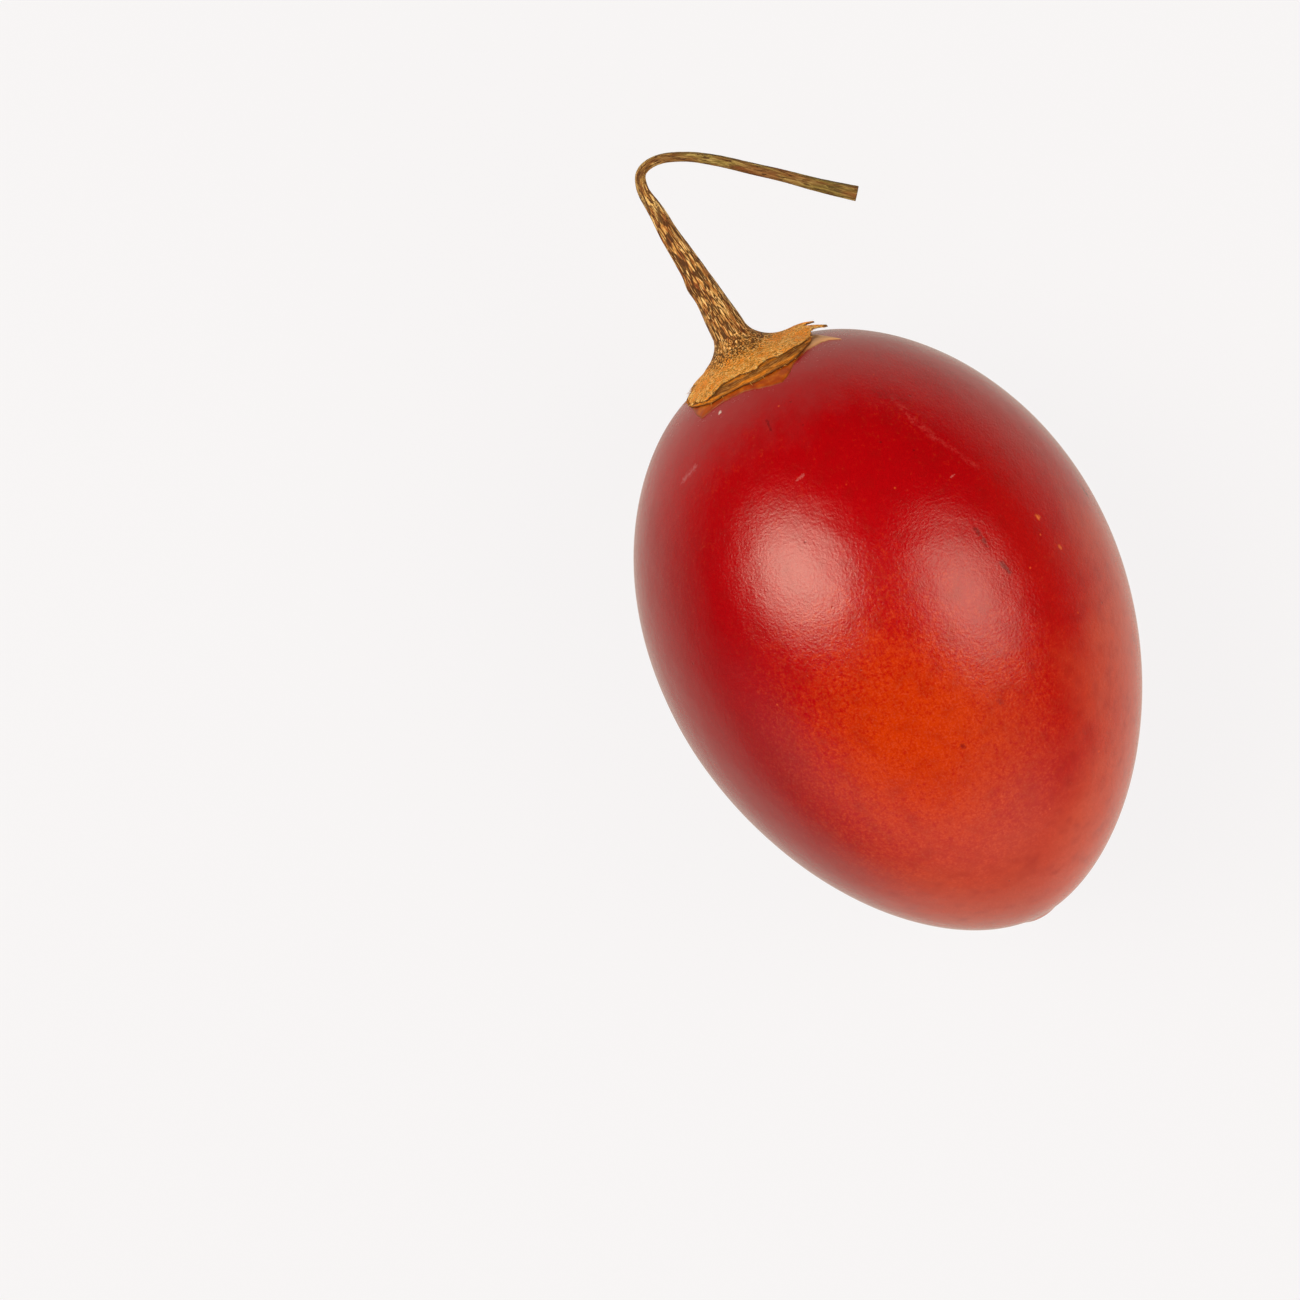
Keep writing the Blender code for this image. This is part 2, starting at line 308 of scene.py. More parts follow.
def through(controls, steps):
    """Catmull-Rom values through the given arrays, each span cut into steps."""
    knots = [2 * controls[0] - controls[1], *controls, 2 * controls[-1] - controls[-2]]
    run = []
    for a, b, c, d in zip(knots, knots[1:], knots[2:], knots[3:]):
        for t in np.arange(steps) / steps:
            run.append(0.5 * (2 * b + (c - a) * t + (2 * a - 5 * b + 4 * c - d) * t**2
                              + (3 * b - a - 3 * c + d) * t**3))
    return run + [knots[-2]]


def stem_run():
    """Points down the middle of the stem, as (x, y, z, radius) rows."""
    return np.array(through([np.array(point) for point in STEM_PATH], 10))


def shell(name, rings, ends, attributes, material):
    """A closed piece from rings of points, in the fruit's frame, with a fan over each end.

    ends gives the first and the last middle point, and attributes one value for each ring point.
    """
    count, sides = rings.shape[:2]
    points = to_world(np.concatenate([rings.reshape(-1, 3), np.array(ends)]))
    index = np.arange(count * sides).reshape(count, sides)
    after = np.roll(index, -1, axis=1)
    quads = np.stack([index[:-1], after[:-1], after[1:], index[1:]], axis=-1).reshape(-1, 4)
    first, last = count * sides, count * sides + 1
    fans = [(first, int(b), int(a)) for a, b in zip(index[0], after[0])]
    fans += [(last, int(a), int(b)) for a, b in zip(index[-1], after[-1])]
    mesh = bpy.data.meshes.new(name)
    mesh.from_pydata(points.tolist(), [], quads.tolist() + fans)
    for label, values in attributes.items():
        flat = values.reshape(-1, *values.shape[2:])
        store(mesh, label, np.concatenate([flat, [values[0, 0], values[-1, 0]]]))
    mesh.materials.append(material)
    mesh.shade_smooth()
    mesh.validate()
    face_out(mesh)
    return put(name, mesh)


def face_out(mesh):
    """Turns the faces of a closed mesh outwards."""
    mesh.calc_loop_triangles()
    total = 0.0
    for triangle in mesh.loop_triangles:
        a, b, c = (mesh.vertices[i].co for i in triangle.vertices)
        total += a.dot(b.cross(c))
    if total < 0:
        mesh.flip_normals()


class FruitSettings(bpy.types.PropertyGroup):
    length: bpy.props.FloatProperty(
        name="Length", description="Fruit from stem end to blossom end", unit="LENGTH",
        default=FRUIT_LENGTH * MM, min=0.02, max=0.15)
    width: bpy.props.FloatProperty(
        name="Width", description="Fruit across its widest girth", unit="LENGTH",
        default=FRUIT_WIDTH * MM, min=0.02, max=0.12)
    crimson: bpy.props.FloatVectorProperty(
        name="Crimson", description="Skin on the shoulders", default=linear("#A70007"), **SWATCH)
    orange: bpy.props.FloatVectorProperty(
        name="Orange red", description="Skin on the side that faces up",
        default=linear("#BA3100"), **SWATCH)
    # Blossom end: the skin's own pinker tone, made paler still as painted light on that end
    blossom: bpy.props.FloatVectorProperty(
        name="Blossom end", description="Pinker skin at the blossom end",
        default=linear("#BC4228"), **SWATCH)
    bloom: bpy.props.FloatVectorProperty(
        name="Bloom", description="Dull powdery skin round the calyx", default=linear("#9A2226"), **SWATCH)


class CalyxSettings(bpy.types.PropertyGroup):
    thickness: bpy.props.FloatProperty(
        name="Sheet", description="Thickness of the dry sheet at its margin", unit="LENGTH",
        default=0.14 * MM, min=0.00005, max=0.001)
    golden: bpy.props.FloatVectorProperty(
        name="Golden", description="Flare of the calyx", default=linear("#FFAE44"), **SWATCH)
    lining: bpy.props.FloatVectorProperty(
        name="Lining", description="Orange layer on the skin", default=linear("#A84600"), **SWATCH)


class StemSettings(bpy.types.PropertyGroup):
    ridges: bpy.props.IntProperty(
        name="Ridges", description="Shrunken ridges round the stem", default=9, min=0, max=30)
    ridge_depth: bpy.props.FloatProperty(
        name="Ridge depth", description="Share of the stem's radius", subtype="FACTOR",
        default=0.035, min=0, max=0.2)
    tan: bpy.props.FloatVectorProperty(
        name="Tan", description="Dry stem between its fissures", default=linear("#CC9650"), **SWATCH)
    bark: bpy.props.FloatVectorProperty(
        name="Fissures", description="Dark fissures along the stem", default=linear("#4C2A10"), **SWATCH)


class StageSettings(bpy.types.PropertyGroup):
    floor: bpy.props.FloatVectorProperty(
        name="Floor", description="Pale floor", default=linear("#F7F5F5"), **SWATCH)
    softbox: bpy.props.FloatProperty(
        name="Softboxes", description="Radiance in the middle of the brighter softbox", default=8.8, min=0)


def skin_material(settings):
    """Waxy fruit skin: a satin cuticle over deep red flesh colour, grown smooth.

    The eye gets soft wide highlights with a fine orange-peel grain, crimson shoulders that melt
    into an orange-red flank, a dull bloom round the calyx, scattered pores and a few scuffs.
    """
    material = bpy.data.materials.new("waxy tamarillo skin")
    add = own_nodes(material)
    place = add("TexCoord").outputs["Object"]
    place = add("Mapping", (place, FRUIT_CENTRE, (0.0, REST_TIP, 0.0), (MM, MM, MM)), vector_type="TEXTURE")
    along = add("SeparateXYZ", (place,))
    # Clouds of colour 10 to 20 mm across, and grains of colour 0.4 mm across
    clouds = add("TexNoise", {
        "Vector": place, "Scale": 0.08, "Detail": 4.0, "Roughness": 0.55, "Distortion": 0.4})
    mottle = add("TexNoise", (place, 2.0, 3.0, 0.8))
    # The orange flank: nearest round its middle on the upper side, beyond the fruit's waist
    patch = add("VectorMath", (place, (10.0, -3.0, 22.0)), "SUBTRACT")
    patch = add("VectorMath", (patch, (1 / 25, 1 / 23, 1 / 30)), "MULTIPLY")
    patch = add("VectorMath", (patch,), "LENGTH")
    patch = add("MapRange", (patch, 0.15, 1.05, 0.85, 0.0), **SMOOTH)
    stray = add("MULTIPLY_ADD", (clouds, 0.9, -0.45))
    ripe = add("ADD", (patch, stray))
    grains = add("MULTIPLY_ADD", (mottle, 1.8, -0.9))
    ripe = add("ADD", (ripe, grains))
    ripe = add("MapRange", (ripe, 0.08, 1.0, 0.0, 1.0), **SMOOTH)
    colour = add("Mix", (ripe, settings.crimson, settings.orange), **BLEND)
    # Paler and pinker towards the blossom end and on the far flank, deeper on the near one: partly painted
    # light and painted shade, as marked below
    for way, low, high, share, tone in (
        # The blossom end's own pinker tone, partly painted light on that end
        ((1.0, 0.0, 0.0), 10.0, 31.0, 0.9, settings.blossom),
        # Painted rim light: the far flank paler and pinker up to its edge
        ((0.3, 0.95, 0.0), 6.0, 17.0, 0.5, "#B4160E"),
        ((0.55, 0.83, 0.0), 15.0, 23.0, 0.8, "#C8482E"),
        # Painted shade: deeper crimson on the near flank
        ((0.0, -1.0, 0.0), 8.0, 22.0, 0.8, "#8C0008"),
    ):
        near = add("VectorMath", (place, way), "DOT_PRODUCT")
        near = add("MULTIPLY_ADD", (stray, 14.0, near))
        near = add("MapRange", (near, low, high, 0.0, share), **SMOOTH)
        colour = add("Mix", (near, colour, tone), **BLEND)
    shade = add("MapRange", (mottle, 0.3, 0.7, 0.93, 1.07))
    tint = add("CombineColor", (shade, shade, shade))
    colour = add("Mix", (1.0, colour, tint), **BLEND, blend_type="MULTIPLY")
    # Darker red blots, 1 to 2 mm across
    blots = add("TexNoise", (place, 0.5, 5.0, 0.7))
    blots = add("MapRange", (blots, 0.5, 0.68, 0.0, 0.38))
    colour = add("Mix", (blots, colour, "#8C0A08"), **BLEND)
    # Bloom: near the stem end, streaked along the fruit
    streaks = add("Mapping", {"Vector": place, "Scale": (0.05, 0.5, 0.5)})
    streaks = add("TexNoise", (streaks, 1.0, 5.0, 0.65))
    reach = add("MULTIPLY_ADD", (streaks, 9.0, -4.5))
    reach = add("ADD", (along, reach))
    bloom = add("MapRange", (reach, -31.5, -23.8, 0.8, 0.0), **SMOOTH)
    colour = add("Mix", (bloom, colour, settings.bloom), **BLEND)
    # Pores: paler or darker dots about 0.25 mm wide and 2 to 4 mm apart
    pores = add("TexVoronoi", (place, 0.42))
    dot = add("MapRange", (pores, 0.03, 0.07, 0.6, 0.0))
    pick = add("SeparateColor", (pores.outputs["Color"],))
    for test, limit, tone in (("GREATER_THAN", 0.7, "#E0582A"), ("LESS_THAN", 0.22, "#640406")):
        dark = add(test, (pick, limit))
        dark = add("MULTIPLY", (dark, dot))
        colour = add("Mix", (dark, colour, tone), **BLEND)
    # Painted glints: paler dots 0.2 mm wide on the orange, for tiny highlights on the wax grains
    painted_glints = add("TexNoise", (place, 4.0, 2.0, 0.6))
    painted_glints = add("MapRange", (painted_glints, 0.48, 0.7, 0.0, 0.03))
    painted_glints = add("MULTIPLY", (painted_glints, ripe))
    colour = add("Mix", (painted_glints, colour, "#F0B8A4"), **BLEND)
    # Scuffs and spots, their edges ragged by noise
    frayed = add("TexNoise", (place, 1.6, 3.0, 0.7))
    frayed = add("VectorMath", (frayed.outputs["Color"], (0.5, 0.5, 0.5)), "SUBTRACT")
    frayed = add("VectorMath", (frayed, (0.8, 0.8, 0.8), place), "MULTIPLY_ADD")
    broken = add("MapRange", (mottle, 0.42, 0.58))
    marked = 0.0
    for start, end, width, code, strength in SKIN_MARKS:
        span = Vector(end) - Vector(start)
        gap = add("VectorMath", (frayed, start), "SUBTRACT")
        share = add("VectorMath", (gap, span / span.length_squared), "DOT_PRODUCT")
        share = add("ADD", (share, 0.0), use_clamp=True)
        foot = add("VectorMath", (span, share), "SCALE")
        gap = add("VectorMath", (gap, foot), "DISTANCE")
        mark = add("MapRange", (gap, width * 0.3, width, strength, 0.0))
        if span.length > 1.5:
            mark = add("MULTIPLY", (mark, broken))
        colour = add("Mix", (mark, colour, code), **BLEND)
        marked = add("MAXIMUM", (mark, marked))
    # Orange-peel grain, 0.3 mm from bump to bump, the finest that the render shows
    peel = add("TexNoise", (place, 3.3, 3.0, 0.6))
    waves = add("TexNoise", (place, 0.22, 2.0, 0.5))
    height = peel
    for part, weight in ((waves, 3.0), (dark, -0.8)):
        height = add("MULTIPLY_ADD", (part, weight, height))
    bump = add("Bump", {"Strength": 0.7, "Distance": 0.052 * MM, "Height": height})
    rough = 0.13
    for part, weight in ((bloom, 0.12), (mottle, 0.08), (marked, 0.06)):
        rough = add("MULTIPLY_ADD", (part, weight, rough))
    finish_material(add, colour, rough, bump, {"IOR": CUTICLE_IOR})
    return material


def husk_material(name, stem, calyx):
    """Dry plant husk: shrunken, papery and matt, split along its grain as it dried.

    The eye gets a tan stem covered in fine dark seams that run along it, a speckled neck, a
    golden flare, margins burnt dark brown, and painted shade in the gap under the sheet. It
    reads these attributes: flare, from the stem to the open calyx, layer, the under-sheet, rim,
    the torn margins and the painted shade in the gap under the sheet, and young, the smooth arm.
    """
    material = bpy.data.materials.new(name)
    add = own_nodes(material)
    grain = add("Attribute", attribute_name="grain").outputs["Vector"]
    flare, layer, rim, young = (add("Attribute", attribute_name=label).outputs["Fac"]
                                for label in ("flare", "layer", "rim", "young"))
    # Fibres 0.3 mm wide and some 2 mm long, as fine as the render can show
    bend = add("TexNoise", (grain, 1.5, 3.0, 0.6))
    bend = add("VectorMath", (bend.outputs["Color"], (0.35, 0.35, 0.35), grain), "MULTIPLY_ADD")
    bend = add("VectorMath", (bend, (1.0, 1.0, 0.62)), "MULTIPLY")
    seams = add("TexNoise", (bend, 3.4, 1.0, 0.5))
    seams = add("SUBTRACT", (seams, 0.5))
    seams = add("ABSOLUTE", (seams,))
    cells = add("TexVoronoi", (bend, 4.6)).outputs["Color"]
    cells = add("SeparateColor", (cells,))
    fissure = add("TexNoise", (bend, 5.2, 2.0, 0.6))
    fleck = add("TexNoise", (bend, 6.5, 2.0, 0.7))
    patches = add("TexNoise", (grain, 0.55, 4.0, 0.6))
    tone = fleck
    for part, weight in ((patches, 0.45), (cells, 0.35)):
        tone = add("MULTIPLY_ADD", (part, weight, tone))
    tone = add("MapRange", (tone, 0.62, 1.06))
    ground, *others = [add("ValToRGB", (tone,), ramp=colours) for colours in (
        ("#783818", "#A86632", stem.tan, "#F4C684"),
        ("#A85E12", "#E69230", calyx.golden, "#FFD486"),
        ("#5A2804", "#7C4008", "#945614", "#BE8644"),
        ("#4C3A1A", "#6E5828", "#887038", "#A88E54"),
    )]
    for share, other in zip((flare, layer, young), others):
        ground = add("Mix", (share, ground, other), **BLEND)
    # Red-brown spots on the smooth arm, and orange ones on the flare
    for share, most, code in ((young, 0.7, "#7A3E1C"), (flare, 0.8, "#F48C10")):
        spots = add("MapRange", (patches, 0.47, 0.58, 0.0, most))
        spots = add("MULTIPLY", (spots, share))
        ground = add("Mix", (spots, ground, code), **BLEND)
    # The seams fade on the flare and the arm; dark dots crowd round the neck
    line = add("MapRange", (seams, 0.04, 0.08, 0.95, 0.0))
    for share in (flare, young):
        kept = add("MapRange", (share, 0.0, 1.0, 1.0, 0.3))
        line = add("MULTIPLY", (line, kept))
    closed = add("SUBTRACT", (1.0, flare))
    neck = add("MULTIPLY", (flare, closed))
    edge = 0.42
    for part, weight in ((flare, -0.03), (neck, 0.46), (young, -0.02)):
        edge = add("MULTIPLY_ADD", (part, weight, edge))
    low = add("SUBTRACT", (edge, 0.02))
    split = add("MapRange", (fissure, low, edge, 0.95, 0.0))
    split = add("MAXIMUM", (split, line))
    ground = add("Mix", (split, ground, stem.bark), **BLEND)
    # Burnt dark brown at the torn margins; where rim marks the gap under the sheet, painted shade
    charred_and_gap_shade = add("MULTIPLY_ADD", (patches, 0.8, rim))
    charred_and_gap_shade = add("MapRange", (charred_and_gap_shade, 1.05, 1.4, 0.0, 0.85))
    ground = add("Mix", (charred_and_gap_shade, ground, "#3A1E0C"), **BLEND)
    height = add("MULTIPLY_ADD", (split, -1.0, fleck))
    bump = add("Bump", {"Strength": 0.6, "Distance": 0.06 * MM, "Height": height})
    rough = add("MULTIPLY_ADD", (fleck, -0.2, 0.85))
    finish_material(add, ground, rough, bump, DRY_SURFACE)
    return material


def lining_material(settings):
    """Calyx lining: the moist inner layer, dried to a thin amber film on the skin.

    The eye gets a clear bright orange, browner at its torn margin and pale where it has lifted.
    """
    material = bpy.data.materials.new("dried calyx lining")
    add = own_nodes(material)
    grain = add("Attribute", attribute_name="grain").outputs["Vector"]
    rim, lifted = (add("Attribute", attribute_name=label).outputs["Fac"] for label in ("rim", "lifted"))
    cloud = add("TexNoise", (grain, 0.9, 4.0, 0.6))
    tone = add("MapRange", (cloud, 0.32, 0.68))
    colour = add("ValToRGB", (tone,), ramp=("#8E2E00", settings.lining, "#C46A0C"))
    colour = add("Mix", (lifted, colour, "#DCA272"), **BLEND)
    brown = add("MULTIPLY_ADD", (cloud, 0.5, rim))
    brown = add("MapRange", (brown, 0.85, 1.3, 0.0, 0.7))
    colour = add("Mix", (brown, colour, "#6E2C0A"), **BLEND)
    rough = add("MULTIPLY_ADD", (cloud, 0.3, 0.3))
    bump = add("Bump", {"Strength": 0.5, "Distance": 0.06 * MM, "Height": cloud})
    finish_material(add, colour, rough, bump, DRY_SURFACE)
    return material


def fruit_tree():
    """A unit sphere drawn out by the fruit's rule, laid down tipped and flattened where it rests."""
    tree, add, given = new_tree("tamarillo fruit shape", {
        "Length": FRUIT_LENGTH * MM,
        "Width": FRUIT_WIDTH * MM,
        "Widest Girth": WIDEST_GIRTH,
        "End Sharpness": END_SHARPNESS,
        "Stem Fullness": STEM_FULLNESS,
        "Flank Fullness": FLANK_FULLNESS,
        "Bow": FRUIT_BOW * MM,
        "Dip Depth": DIP_DEPTH * MM,
        "Dip Spread": DIP_SPREAD * MM,
        "Nub Height": NUB_HEIGHT * MM,
        "Nub Radius": NUB_RADIUS * MM,
        "Nub Dimple": NUB_DIMPLE * MM,
        "Dimple Radius": NUB_DIMPLE_RADIUS * MM,
        "Unevenness": 0.12 * MM,
        "Rest Tip": REST_TIP,
        "Centre": FRUIT_CENTRE,
        "Sides": 288,
        "Rings": 176,
        "Material": None,
    })
    ball = add("MeshUVSphere", (given["Sides"], given["Rings"], 1.0))
    px, py, pz = add("SeparateXYZ", (add("InputPosition"),)).outputs
    out = add("CombineXYZ", (px, py))
    sine = add("VectorMath", (out,), "LENGTH")
    turn = add("ARCTAN2", (py, px))
    # girth = sine ** sharpness * (1 - stem fullness * z + flank fullness * (2 z z - 1))
    power = add("POWER", (sine, given["End Sharpness"]))
    square = add("MULTIPLY", (pz, pz))
    double = add("MULTIPLY_ADD", (square, 2.0, -1.0))
    flank = add("MULTIPLY_ADD", (double, given["Flank Fullness"], 1.0))
    stem = add("MULTIPLY", (pz, given["Stem Fullness"]))
    full = add("SUBTRACT", (flank, stem))
    drawn_out = add("MULTIPLY", (power, full))
    half = add("DIVIDE", (given["Width"], 2.0))
    scale = add("DIVIDE", (half, given["Widest Girth"]))
    radius = add("MULTIPLY", (drawn_out, scale))
    # x: the egg's own, sunk under the calyx and raised in the nub
    half_length = add("DIVIDE", (given["Length"], 2.0))
    x = add("MULTIPLY", (half_length, pz))
    stem_side = add("LESS_THAN", (pz, 0.0))
    other_side = add("GREATER_THAN", (pz, 0.0))
    for depth, spread, sharp, side, sign in (
        ("Dip Depth", "Dip Spread", 2.0, stem_side, 1.0),
        ("Nub Height", "Nub Radius", 4.0, other_side, 1.0),
        ("Nub Dimple", "Dimple Radius", 2.0, other_side, -1.0),
    ):
        away = add("DIVIDE", (radius, given[spread]))
        away = add("POWER", (away, sharp))
        away = add("MULTIPLY", (away, -1.0))
        fade = add("EXPONENT", (away,))
        fade = add("MULTIPLY", (fade, side))
        fade = add("MULTIPLY", (fade, sign))
        x = add("MULTIPLY_ADD", (fade, given[depth], x))
    share = add("DIVIDE", (x, half_length))
    share = add("MULTIPLY", (share, share))
    bow = add("MULTIPLY", (share, given["Bow"]))
    # Faint swells, two and three round the fruit
    swell = 0.0
    for waves, rise in ((2.0, 0.006), (3.0, 0.004)):
        wave = add("MULTIPLY", (turn, waves))
        wave = add("SINE", (wave,))
        swell = add("MULTIPLY_ADD", (wave, rise, swell))
    swell = add("MULTIPLY_ADD", (swell, sine, 1.0))
    radius = add("MULTIPLY", (radius, swell))
    y = add("MULTIPLY_ADD", (radius, add("COSINE", (turn,)), bow))
    z = add("MULTIPLY", (radius, add("SINE", (turn,))))
    drawn = add("SetPosition", {"Geometry": ball, "Position": add("CombineXYZ", (x, y, z))})
    # Slow unevenness along the normal, 15 mm from swell to swell
    drift = add("TexNoise", (add("InputPosition"), 65.0, 1.0, 0.5))
    drift = add("SUBTRACT", (drift, 0.5))
    drift = add("MULTIPLY", (drift, given["Unevenness"]))
    drift = add("VectorMath", (add("InputNormal"), drift), "SCALE")
    uneven = add("SetPosition", {"Geometry": drawn, "Offset": drift})
    turned = add("VectorRotate", {"Vector": add("InputPosition"), "Angle": given["Rest Tip"]},
                 rotation_type="Y_AXIS")
    lifted = add("VectorMath", (turned, given["Centre"]), "ADD")
    laid = add("SetPosition", {"Geometry": uneven, "Position": lifted})
    px, py, pz = add("SeparateXYZ", (add("InputPosition"),)).outputs
    flat = add("CombineXYZ", (px, py, add("SMOOTH_MAX", (pz, 0.0, 0.1 * MM))))
    rested = add("SetPosition", {"Geometry": laid, "Position": flat})
    end_tree(add, rested, given["Material"])
    return tree


def stem_tree():
    """A unit cylinder laid along the stem's path: ridged, shrunken and knuckled."""
    tree, add, given = new_tree("tamarillo stem sweep", {
        "Geometry": None,
        "Sides": 56,
        "Steps": 420,
        "Ridges": 9,
        "Ridge Depth": 0.035,
        "Shrinkage": 0.15 * MM,
        "Knuckle Place": 4.6 * MM,
        "Knuckle Length": 1.0 * MM,
        "Knuckle Height": 0.22 * MM,
        "Smooth From": 9.0 * MM,
        "Smooth To": 27.0 * MM,
        "Grain Stretch": GRAIN_STRETCH,
        "Material": None,
    })
    path = add("MeshToCurve", (given["Geometry"],))
    rod = add("MeshCylinder", {
        "Vertices": given["Sides"], "Side Segments": given["Steps"], "Fill Segments": 1,
        "Radius": 1.0, "Depth": 1.0}, fill_type="TRIANGLE_FAN")
    px, py, pz = add("SeparateXYZ", (add("InputPosition"),)).outputs
    factor = add("ADD", (pz, 0.5), use_clamp=True)
    sampled = []
    for label, kind in (("thick", "FLOAT"), ("across", "FLOAT_VECTOR"), ("arc", "FLOAT")):
        value = add("InputNamedAttribute", (label,), data_type=kind)
        sampled.append(add("SampleCurve", (path, value, factor), data_type=kind, mode="FACTOR"))
    thick, across, arc = sampled
    over = add("VectorMath", (thick.outputs["Tangent"], across), "CROSS_PRODUCT")
    angle = add("ARCTAN2", (py, px))
    cosine = add("COSINE", (angle,))
    sine = add("SINE", (angle,))
    # Everything fades in past the calyx's neck, where the two pieces share one surface
    fade = add("MapRange", (arc, 1.0 * MM, 4.0 * MM, 0.0, 1.0), **SMOOTH)
    wave = add("MULTIPLY", (angle, given["Ridges"]))
    wave = add("COSINE", (wave,))
    wave = add("MULTIPLY", (wave, given["Ridge Depth"]))
    wave = add("MULTIPLY_ADD", (wave, fade, 1.0))
    radius = add("MULTIPLY", (wave, thick))
    # The knuckle stands out on the side away from the hook
    knob = add("SUBTRACT", (arc, given["Knuckle Place"]))
    knob = add("DIVIDE", (knob, given["Knuckle Length"]))
    knob = add("MULTIPLY", (knob, knob))
    knob = add("MULTIPLY", (knob, -1.0))
    knob = add("EXPONENT", (knob,))
    away = add("MULTIPLY", (cosine, -1.0), use_clamp=True)
    knob = add("MULTIPLY", (knob, away))
    radius = add("MULTIPLY_ADD", (knob, given["Knuckle Height"], radius))
    # Grain, in millimetres: round the stem at true size, along it shortened
    gx = add("MULTIPLY", (cosine, thick))
    gy = add("MULTIPLY", (sine, thick))
    grain = add("CombineXYZ", (gx, gy, add("MULTIPLY", (arc, given["Grain Stretch"]))))
    grain = add("VectorMath", (grain, 1 / MM), "SCALE")
    shrunk = add("TexNoise", (grain, 1.5, 4.0, 0.7))
    shrunk = add("SUBTRACT", (shrunk, 0.5))
    shrunk = add("MULTIPLY", (shrunk, fade))
    radius = add("MULTIPLY_ADD", (shrunk, given["Shrinkage"], radius))
    middle = add("CombineXYZ", (px, py))
    middle = add("VectorMath", (middle,), "LENGTH")
    radius = add("MULTIPLY", (radius, middle))
    place = add("VectorMath", (across, add("MULTIPLY", (cosine, radius))), "SCALE")
    lift = add("VectorMath", (over, add("MULTIPLY", (sine, radius))), "SCALE")
    place = add("VectorMath", (place, lift), "ADD")
    place = add("VectorMath", (place, thick.outputs["Position"]), "ADD")
    # The stem is smoother from its hook on
    young = add("MapRange", (arc, given["Smooth From"], given["Smooth To"]), **SMOOTH)
    kept = rod
    for label, kind, value in (("grain", "FLOAT_VECTOR", grain), ("young", "FLOAT", young)):
        kept = add("StoreNamedAttribute", {"Geometry": kept, "Name": label, "Value": value},
                   data_type=kind, domain="POINT")
    swept = add("SetPosition", {"Geometry": kept, "Position": place})
    end_tree(add, swept, given["Material"])
    return tree


def fibre_tree():
    """Torn fibres: thin tapered slivers on some points of the margin, pointing outwards."""
    tree, add, given = new_tree("torn calyx fibres", {
        "Geometry": None,
        "Share": 0.3,
        "Length": 0.9 * MM,
        "Width": 0.07 * MM,
        "Spread": 0.5,
        "Seed": 7,
        "Material": None,
    })
    sliver = add("MeshCone", {
        "Vertices": 5, "Side Segments": 3, "Fill Segments": 1, "Radius Top": 0.0,
        "Radius Bottom": given["Width"], "Depth": given["Length"]}, fill_type="TRIANGLE_FAN")
    chosen = add("RandomValue", {"Probability": given["Share"], "Seed": given["Seed"]},
                 data_type="BOOLEAN")
    outward = add("InputNamedAttribute", ("outward",), data_type="FLOAT_VECTOR")
    stray = add("RandomValue", {0: (-1.0, -1.0, -1.0), 1: (1.0, 1.0, 1.0), "Seed": given["Seed"]},
                data_type="FLOAT_VECTOR")
    stray = add("VectorMath", (stray, given["Spread"]), "SCALE")
    aim = add("VectorMath", (outward, stray), "ADD")
    turn = add("AlignRotationToVector", {"Vector": aim}, axis="Z")
    size = add("RandomValue", {0: (0.5, 0.35, 0.3), 1: (1.3, 0.9, 1.2), "Seed": given["Seed"]},
               data_type="FLOAT_VECTOR")
    strewn = add("InstanceOnPoints", {"Points": given["Geometry"], "Selection": chosen,
                                      "Instance": sliver, "Rotation": turn, "Scale": size})
    end_tree(add, strewn, given["Material"])
    return tree


def calyx_reach():
    """The upper sheet's reach, the rolled margin's, and the sheet's height, all round."""
    ragged = 0.07 * round_noise(90, 3.0) + 0.05 * round_noise(220, 9.0)
    sheet = round_values(SHEET_REACH) + ragged
    roll = round_values(ROLL_REACH) + 0.5 * ragged
    height = round_values(SHEET_HEIGHT) + 0.03 * round_noise(25, 5.0)
    return sheet, roll, height


def calyx_rings(radii, heights):
    """Points at these radii round the calyx's middle and heights above the skin."""
    y = CALYX_Y + radii * np.cos(TURNS)
    z = radii * np.sin(TURNS)
    return np.stack([skin_x(y, z) - heights, y, z], axis=-1)


class TAMARILLO_OT_fruit(bpy.types.Operator):
    """Grow the fruit's skin over its solid"""

    bl_idname = "tamarillo.fruit"
    bl_label = "Fruit"

    def execute(self, context):
        settings = context.scene.tamarillo_fruit
        skin = grow("fruit_skin", fruit_tree(), {
            "Length": settings.length, "Width": settings.width, "Material": skin_material(settings)})
        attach(skin, "root")
        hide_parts("fruit")
        return {"FINISHED"}


